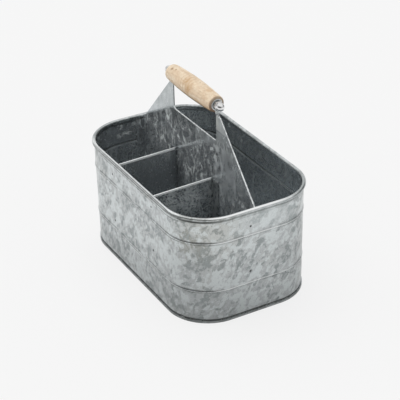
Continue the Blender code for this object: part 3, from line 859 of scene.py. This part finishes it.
def sweep_round_tub(name, profile):
    """Draw a profile of (distance outwards from the wall line, height) and carry it round the tub."""
    tub = settings("tub")
    radius = tub.corner_radius - tub.roll
    corner_x = TUB_HIGH.x - tub.corner_radius
    corner_y = TUB_HIGH.y - tub.corner_radius
    piece = draw_line(name, [(corner_x + radius + out, corner_y, height) for out, height in profile])
    lap = [tub.lap * 0.75, tub.lap / 2, 0, -tub.lap / 2, -tub.lap / 2 - tub.clearance]
    rear = spread(corner_y, lap[0], 4)[:-1] + lap + spread(lap[-1], -corner_y, 4)[1:]
    legs = [
        (corner_x, corner_y, "x", spread(corner_x, -corner_x, LONG_STEPS)),
        (-corner_x, corner_y, "y", rear),
        (-corner_x, -corner_y, "x", spread(-corner_x, corner_x, LONG_STEPS)),
        (corner_x, -corner_y, "y", spread(-corner_y, corner_y, SHORT_STEPS)),
    ]
    for x, y, axis, stops in legs:
        bpy.ops.mesh.spin(steps=CORNER_STEPS, angle=-math.pi / 2, center=(x, y, 0), axis=(0, 0, 1))
        for before, after in zip(stops, stops[1:]):
            step = after - before
            extrude((step, 0, 0) if axis == "x" else (0, step, 0))
    close_surface()
    return piece


def lean(height):
    """How far the wall has leaned in from the rim at a height."""
    return settings("tub").lean * (1 - height / RIM)


def bead(middle):
    """Points of one rounded bead in the wall's outer face."""
    tub = settings("tub")
    points = []
    for turn in spread(-math.pi, math.pi, 10):
        height = middle + turn / math.pi * tub.bead_width / 2
        points.append((tub.bead_depth * (1 + math.cos(turn)) / 2 - lean(height), height))
    return points


def plain_wall(low, high, count):
    """Points of a plain stretch of wall between two heights, without its ends."""
    return [(-lean(height), height) for height in spread(low, high, count)[1:-1]]


def wall_profile():
    """The wall's outer face from its foot to the end of the roll round the wire."""
    tub = settings("tub")
    half_bead = tub.bead_width / 2
    joggle_low = RIM - tub.joggle
    roll_centre = RIM - tub.roll
    inner_roll = tub.roll - tub.sheet
    low = TUB_LOW.z
    profile = [(-lean(low), low)]
    for middle, steps in ((tub.bead_low, 7), (tub.bead_high, 10)):
        profile += plain_wall(low, middle - half_bead, steps) + bead(middle)
        low = middle + half_bead
    profile += plain_wall(low, joggle_low, 4)
    for turn in spread(0, 1, 6)[:-1]:
        shift = turn * turn * (3 - 2 * turn)
        height = joggle_low + (roll_centre - joggle_low) * turn
        profile.append((-inner_roll * shift - lean(height), height))
    return profile + arc((0, roll_centre), inner_roll, 180, -92, 20)


def wave_sheet(piece, low, high):
    """Raise shallow waves in a sheet between two heights."""
    tub = settings("tub")
    group = piece.vertex_groups.new(name="waves")
    for vert in piece.data.vertices:
        height = vert.co.z
        weight = min((height - low) / WAVE_FADE, (high - height) / WAVE_FADE, 1)
        if weight > 0:
            group.add([vert.index], weight, "REPLACE")
    texture = bpy.data.textures.new("sheet_waves", "CLOUDS")
    texture.noise_scale = WAVE_LENGTH
    texture.noise_depth = 1
    finish_modifier(
        piece, "DISPLACE", texture=texture, texture_coords="LOCAL", strength=tub.wave,
        mid_level=0.5, vertex_group="waves"
    )
    piece.vertex_groups.clear()
    bpy.data.textures.remove(texture)


def reaches(place, reach, face):
    """Whether a corner or the middle of a face is within reach of a place."""
    corners = [vert.co for vert in face.verts] + [face.calc_center_median()]
    return min((corner - place).length for corner in corners) < reach


def press_dent(piece, place, inwards):
    """Press a spot weld's small round dent into a sheet at a place."""
    tub = settings("tub")
    pick(piece)
    bpy.ops.object.mode_set(mode="EDIT")
    for reach in (tub.dent_width * 1.8, tub.dent_width):
        select_only(piece, "FACE", partial(reaches, place, reach))
        bpy.ops.mesh.subdivide(number_cuts=3)
    mesh = bmesh.from_edit_mesh(piece.data)
    for vert in mesh.verts:
        away = (vert.co - place).length / (tub.dent_width / 2)
        if away < 1:
            vert.co += Vector(inwards) * tub.dent_depth * (1 - away * away) ** 2
    bmesh.update_edit_mesh(piece.data)
    bpy.ops.object.mode_set(mode="OBJECT")


def weld_places():
    """The middles of the spot welds that show on the tub's outer face."""
    side = TUB_HIGH.y - settings("tub").roll
    end = TUB_HIGH.x - settings("tub").roll
    places = [(x, lean(z) - side, z) for x, z in SIDE_WELDS]
    for z in END_WELDS:
        places += [(end - lean(z), -0.0078, z), (lean(z) - end, -0.0100, z)]
    return places


def use_second_material(piece, chosen):
    """Give the chosen faces the piece's second material."""
    for face in piece.data.polygons:
        if chosen(face):
            face.material_index = 1


class BuildTubWall(bpy.types.Operator):
    """Build the beaded wall with its rolled rim, lap seam and spot welds"""

    bl_idname = "storage_box.tub_wall"
    bl_label = "Tub wall"

    def execute(self, context):
        tub = settings("tub")
        piece = sweep_round_tub("tub_sheet", wall_profile())
        # The roll turns back on itself, so its outermost faces look inwards and flip the whole sheet.
        bpy.ops.mesh.flip_normals()
        bpy.ops.object.mode_set(mode="OBJECT")
        wave_sheet(piece, PAN_TOP + tub.sheet, RIM - tub.joggle)
        finish_modifier(piece, "SOLIDIFY", thickness=tub.sheet, offset=-1, use_even_offset=True)
        end = TUB_HIGH.x - tub.roll
        for vert in piece.data.vertices:
            outer = -vert.co.x > end - lean(vert.co.z) - tub.sheet / 2
            in_lap = abs(vert.co.y) < tub.lap / 2 + MERGE
            if outer and in_lap and PAN_TOP + tub.sheet < vert.co.z < RIM - tub.joggle:
                vert.co.x -= tub.sheet
        for place in weld_places():
            along_end = abs(place[1]) < tub.lap
            inwards = (-math.copysign(1, place[0]), 0, 0) if along_end else (0, 1, 0)
            press_dent(piece, Vector(place), inwards)

        def faces_inwards(face):
            centre = face.center
            radial = Vector((centre.x, centre.y, 0))
            return face.normal.dot(radial) < 0 and centre.z < RIM - tub.roll * 1.6

        dress(piece, "box", "galvanised_sheet", "galvanised_outside", "galvanised_inside")
        use_second_material(piece, faces_inwards)
        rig.replaces(piece, "tub_wall")
        return {"FINISHED"}


class BuildBasePan(bpy.types.Operator):
    """Build the bottom, whose edge is folded down, under the wall and up outside it"""

    bl_idname = "storage_box.base_pan"
    bl_label = "Base pan"

    def execute(self, context):
        tub = settings("tub")
        foot = lean(0)
        inner = -2 * tub.sheet - tub.clearance - foot
        outer = tub.clearance + tub.sheet - foot
        bend = tub.pan_bend
        profile = arc((inner - bend, tub.pan_rise - bend), bend, 90, 0, 4)
        profile += arc((inner + bend, bend), bend, 180, 270, 4)
        profile += arc((outer - bend, bend), bend, 270, 360, 4)
        profile.append((outer, PAN_TOP))
        piece = sweep_round_tub("pan_sheet", [(inner - 3 * bend, tub.pan_rise)] + profile)

        def inner_border(edge):
            return edge.is_boundary and all(abs(vert.co.z - tub.pan_rise) < MERGE for vert in edge.verts)

        select_only(piece, "EDGE", inner_border)
        bpy.ops.mesh.edge_face_add()
        bpy.ops.mesh.inset(thickness=0.004)
        close_surface()
        finish_modifier(piece, "SOLIDIFY", thickness=tub.sheet, offset=-1, use_even_offset=True)
        dress(piece, "box", "galvanised_sheet", "galvanised_outside", "galvanised_inside")
        use_second_material(piece, lambda face: face.normal.z > 0.5 and face.center.z > tub.pan_rise)
        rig.replaces(piece, "base_pan")
        return {"FINISHED"}


def softened_copy(node, name):
    """A new piece from a node's shape, merged and with flat faces joined, left in edit mode."""
    piece = bpy.data.objects.new(name, frame["nodes"][node].data.copy())
    bpy.context.collection.objects.link(piece)
    piece.data.materials.clear()
    pick(piece)
    bpy.ops.object.mode_set(mode="EDIT")
    bpy.ops.mesh.select_mode(type="EDGE")
    bpy.ops.mesh.select_all(action="SELECT")
    bpy.ops.mesh.remove_doubles(threshold=MERGE)
    bpy.ops.mesh.dissolve_limited(angle_limit=math.radians(0.5))
    return piece


def round_hem(piece, across, above):
    """Round the folded edges of a hem: the long edges of side faces that are a full hem thick."""

    def folded(edge):
        if len(edge.link_faces) != 2 or min(vert.co.z for vert in edge.verts) < above:
            return False
        along = (edge.verts[1].co - edge.verts[0].co).normalized()
        sides = [face for face in edge.link_faces if abs(face.normal[across]) < 0.1]
        if abs(along[across]) > 0.1 or len(sides) != 1:
            return False
        reach = [vert.co[across] for vert in sides[0].verts]
        return max(reach) - min(reach) > HEM * 0.95

    select_only(piece, "EDGE", folded)
    bpy.ops.mesh.bevel(offset=HEM * 0.3, segments=3, affect="EDGES", clamp_overlap=True)


def all_above(height, edge):
    """Whether an edge lies above a height."""
    return min(vert.co.z for vert in edge.verts) > height


def finish_sheet(piece, *materials):
    """Take the sharpness off a divider's edges, dress it, and let its large faces mirror flat."""
    finish_modifier(
        piece, "BEVEL", width=EDGE_ROUNDING, segments=2, limit_method="ANGLE", angle_limit=math.radians(40),
        use_clamp_overlap=True
    )
    dress(piece, "box", "dark_zinc_sheet", *materials)
    finish_modifier(piece, "WEIGHTED_NORMAL", keep_sharp=True, weight=100)


class BuildCentreDivider(bpy.types.Operator):
    """Build the centre plate with its hemmed arms, twisted necks and eyes"""

    bl_idname = "storage_box.centre_divider"
    bl_label = "Centre divider"

    def execute(self, context):
        piece = softened_copy("centre_divider", "divider_plate")
        round_hem(piece, 1, RIM - 0.008)
        finish_sheet(piece, "divider_sheet", "rubbed_edge")

        def is_edge(face):
            turned = abs(face.normal.y) < 0.9 and abs(face.normal.x) < 0.98
            return turned and face.center.z > TUB_LOW.z + 0.01

        use_second_material(piece, is_edge)
        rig.replaces(piece, "centre_divider")
        return {"FINISHED"}


class BuildCrossDividers(bpy.types.Operator):
    """Build both cross dividers with their hemmed tops and flanges"""

    bl_idname = "storage_box.cross_dividers"
    bl_label = "Cross dividers"

    def execute(self, context):
        for place in ("rear", "front"):
            node = "cross_divider_" + place
            piece = softened_copy(node, "divider_" + place)
            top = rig.box(node)[1].z
            round_hem(piece, 0, top - 0.0001)
            select_only(piece, "EDGE", partial(all_above, top - 0.006))
            hinge = (0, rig.box(node)[0].y, top)
            bpy.ops.transform.rotate(value=-DIVIDER_SLOPE, orient_axis="X", center_override=hinge)
            finish_sheet(piece, "cross_sheet")
            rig.replaces(piece, node)
        return {"FINISHED"}


def spin_about_x(points, name):
    """Draw a closed profile of (X, radius) points and spin it about the X axis."""
    piece = draw_line(name, [(x, 0, radius) for x, radius in points])
    bpy.ops.mesh.spin(steps=TURNED_SIDES, angle=2 * math.pi, center=(0, 0, 0), axis=(1, 0, 0))
    close_surface()
    return piece


class BuildGrip(bpy.types.Operator):
    """Turn the wooden grip with its rounded ends and bore"""

    bl_idname = "storage_box.grip"
    bl_label = "Grip"

    def execute(self, context):
        grip = settings("grip")
        half = GRIP_HIGH.x
        shoulder = half - grip.shoulder_length
        swell = (GRIP_HIGH.z - GRIP_LOW.z) / 2 - grip.shoulder
        rear = [(-half, grip.bore + BORE_CHAMFER), (-half, grip.face)]
        for back, rise in arc((0, 0), 1, 180, 90, 8)[1:]:
            radius = grip.face + (grip.shoulder - grip.face) * rise
            rear.append((-shoulder + grip.shoulder_length * back, radius))
        barrel = [
            (along * shoulder, grip.shoulder + swell * (1 - along * along)) for along in spread(-1, 1, 28)
        ]
        front = [(-x, radius) for x, radius in reversed(rear)]
        bore = [(half - BORE_CHAMFER, grip.bore), (BORE_CHAMFER - half, grip.bore)]
        outline = rear + barrel[1:-1] + front + bore
        piece = spin_about_x(outline + outline[:1], "grip_barrel")
        bpy.ops.object.mode_set(mode="OBJECT")
        piece.data.transform(Matrix.Translation((0, 0, HANDLE_AXIS)))
        dress(piece, "grip", "pale_beech", "sanded_wood")
        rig.replaces(piece, "handle_grip")
        return {"FINISHED"}


def add_bar(name, start, end, radius, sides):
    """A straight bar along X that a Boolean uses."""
    deselect_everything()
    bpy.ops.mesh.primitive_cylinder_add(
        vertices=sides, radius=radius, depth=end - start, location=((start + end) / 2, 0, 0),
        rotation=(0, math.pi / 2, 0)
    )
    bar = bpy.context.object
    bar.name = name
    return bar


class BuildCapNuts(bpy.types.Operator):
    """Build both domed cap nuts"""

    bl_idname = "storage_box.cap_nuts"
    bl_label = "Cap nuts"

    def execute(self, context):
        grip = settings("grip")
        face = grip.nut_flats / 2 - NUT_CHAMFER
        corner = grip.nut_flats / 2 / math.cos(math.pi / 6)
        outer = corner + NUT_CHAMFER
        chamfer = (outer - face) * math.tan(math.radians(30))
        outline = [(0, grip.bore), (0, face), (chamfer, outer)]
        outline += [(grip.nut_hex - chamfer, outer), (grip.nut_hex, face), (grip.nut_hex, grip.nut_dome)]
        outline += arc((grip.nut_height - grip.nut_dome, 0), grip.nut_dome, 90, 0, 20)
        outline += [(grip.nut_bore_depth, 0), (grip.nut_bore_depth, grip.bore), (0, grip.bore)]
        nut = spin_about_x(outline, "nut_front")
        # The guides overlap each other and stand beyond the nut's ends.
        lap, beyond = 0.0002, 0.001
        top, radius = grip.nut_height + beyond, grip.nut_dome + lap
        hexagon = add_bar("hexagon", -beyond, grip.nut_hex + lap, corner, 6)
        dome = add_bar("dome", grip.nut_hex - lap, top, radius, TURNED_SIDES)
        finish_modifier(hexagon, "BOOLEAN", operation="UNION", object=dome, solver="EXACT")
        finish_modifier(nut, "BOOLEAN", operation="INTERSECT", object=hexagon, solver="EXACT")
        for guide in (hexagon, dome):
            bpy.data.objects.remove(guide)
        finish_modifier(
            nut, "BEVEL", width=NUT_ROUNDING, segments=2, limit_method="ANGLE", angle_limit=math.radians(25)
        )
        rear = bpy.data.objects.new("nut_rear", nut.data.copy())
        context.collection.objects.link(rear)
        for piece, node, side in ((nut, "cap_nut_front", 1), (rear, "cap_nut_rear", -1)):
            low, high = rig.box(node)
            seat = low.x if side > 0 else high.x
            turned = Matrix.Rotation(math.pi * (1 - side) / 2, 4, "Z")
            piece.data.transform(Matrix.Translation((seat, 0, HANDLE_AXIS)) @ turned)
            dress(piece, "box", "bright_plating", "bright_plating")
            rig.replaces(piece, node)
        return {"FINISHED"}


class FinishSteel(bpy.types.Operator):
    """Give the rod and the rim wire their steel finish"""

    bl_idname = "storage_box.steel"
    bl_label = "Rod and wire"

    def execute(self, context):
        for node in ("handle_rod", "rim_wire"):
            slots = frame["nodes"][node].data.materials
            slots.clear()
            slots.append(material("drawn_steel"))
        return {"FINISHED"}


class BuildStage(bpy.types.Operator):
    """Set up the pale floor, the soft light and the camera"""

    bl_idname = "storage_box.stage"
    bl_label = "Stage"

    def execute(self, context):
        stage = settings("stage")
        scene = context.scene
        scene.view_settings.view_transform = "Standard"
        self.add_floor(stage)
        self.add_light(scene, stage)
        self.add_camera(scene, stage)
        return {"FINISHED"}

    def add_floor(self, stage):
        """A wide floor that keeps the object's shadow."""
        deselect_everything()
        bpy.ops.mesh.primitive_plane_add(size=14)
        floor = bpy.context.object
        floor.name = "floor"
        pale = Shader("pale_floor")
        pale.colour = (stage.floor,) * 3
        pale.finish(roughness=1.0, metallic=0.0, gloss=0.0)
        surface = Link(pale, pale.surface.outputs[0])
        glow = pale.node("Emission", {"Color": (stage.backdrop,) * 3, "Strength": 1.0})
        seen = pale.ray("Camera") * stage.floor_glow + pale.ray("Glossy") * stage.floor_mirror_glow
        mixed = pale.node("MixShader", {0: seen, 1: surface, 2: glow})
        pale.feed(pale.tree.nodes["Material Output"].inputs["Surface"], mixed)
        floor.data.materials.append(pale.material)
        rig.stage(floor)

    def add_light(self, scene, stage):
        """Soft light from all round, a room that metal mirrors, and a broad lamp overhead."""
        world = bpy.data.worlds.new("studio")
        world.use_nodes = True
        scene.world = world
        studio = Nodes(world.node_tree)
        towards = studio.node("TexCoord", output="Generated")
        across, depth, height = (studio.part(towards, name) for name in "XYZ")
        window = (across * 0.88 + depth * 0.47).step(0.55, 0.95)
        behind = (depth * 0.48 - across * 0.876).step(0.68, 0.90)
        before = (across * 0.48 - depth * 0.88).step(0.25, 0.80)
        above = (height - before * 0.25).step(0.36, 0.70)
        aside = (across * -0.906 - depth * 0.423).step(0.60, 0.85)
        room = stage.room + window * (stage.backdrop - stage.room) * 0.6
        for part, shine in ((aside, stage.side), (above, stage.ceiling), (behind, stage.backdrop * 0.9)):
            room += part * (shine - room)
        level = studio.ray("Glossy") * room
        level += (1 - studio.ray("Glossy")) * stage.sky
        level = studio.ray("Camera") * stage.backdrop + (1 - studio.ray("Camera")) * level
        background = studio.tree.nodes["Background"].inputs
        studio.feed(background["Color"], (1, 1, 1))
        studio.feed(background["Strength"], level)
        deselect_everything()
        bpy.ops.object.light_add(type="SUN", rotation=(math.radians(8), math.radians(-24), 0))
        lamp = bpy.context.object
        lamp.data.energy = stage.lamp
        lamp.data.angle = math.radians(70)
        lamp.visible_glossy = False

    def add_camera(self, scene, stage):
        """The camera at the photograph's angle."""
        turn, rise = stage.azimuth, stage.elevation
        back = Vector((math.sin(turn) * math.cos(rise), -math.cos(turn) * math.cos(rise), math.sin(rise)))
        right = Vector((math.cos(turn), math.sin(turn), 0))
        up = back.cross(right)
        level = Matrix((right, up, back)).transposed()
        deselect_everything()
        bpy.ops.object.camera_add()
        camera = bpy.context.object
        camera.matrix_world = (
            Matrix.Translation(Vector(stage.target) + back * stage.distance)
            @ level.to_4x4()
            @ Matrix.Rotation(stage.roll, 4, "Z")
        )
        camera.data.sensor_width = SENSOR_WIDTH
        camera.data.lens = stage.focal_pixels / PHOTO_PIXELS * SENSOR_WIDTH
        camera.data.clip_end = 50
        scene.camera = camera


GROUPS = {"tub": TubSizes, "grip": GripSizes, "finishes": Finishes, "stage": StageSettings}
STEPS = (
    BuildTubWall, BuildBasePan, BuildCentreDivider, BuildCrossDividers, BuildGrip, BuildCapNuts, FinishSteel,
    BuildStage
)


class StorageBoxPanel(bpy.types.Panel):
    """Buttons for every step of the box"""

    bl_idname = "VIEW3D_PT_storage_box"
    bl_label = "Storage box"
    bl_space_type = "VIEW_3D"
    bl_region_type = "UI"
    bl_category = "Storage box"

    def draw(self, context):
        for step in STEPS:
            self.layout.operator(step.bl_idname)


def register():
    """Register the sizes, the steps and the panel."""
    for name, group in GROUPS.items():
        bpy.utils.register_class(group)
        setattr(bpy.types.Scene, "storage_box_" + name, bpy.props.PointerProperty(type=group))
    for step in STEPS + (StorageBoxPanel,):
        bpy.utils.register_class(step)


def unregister():
    """Take everything back out again."""
    for step in reversed(STEPS + (StorageBoxPanel,)):
        bpy.utils.unregister_class(step)
    for name, group in reversed(GROUPS.items()):
        delattr(bpy.types.Scene, "storage_box_" + name)
        bpy.utils.unregister_class(group)


def main():
    """Build every piece in order, and write down both boxes."""
    register()
    cad_box = [list(corner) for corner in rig.bounds()]
    for step in STEPS:
        group, name = step.bl_idname.split(".")
        getattr(getattr(bpy.ops, group), name)()
    sizes = {"cad": cad_box, "visual": [list(corner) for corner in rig.bounds()]}
    with open(SIZE_FILE, "w") as size_file:
        json.dump(sizes, size_file)


if __name__ == "__main__":
    main()
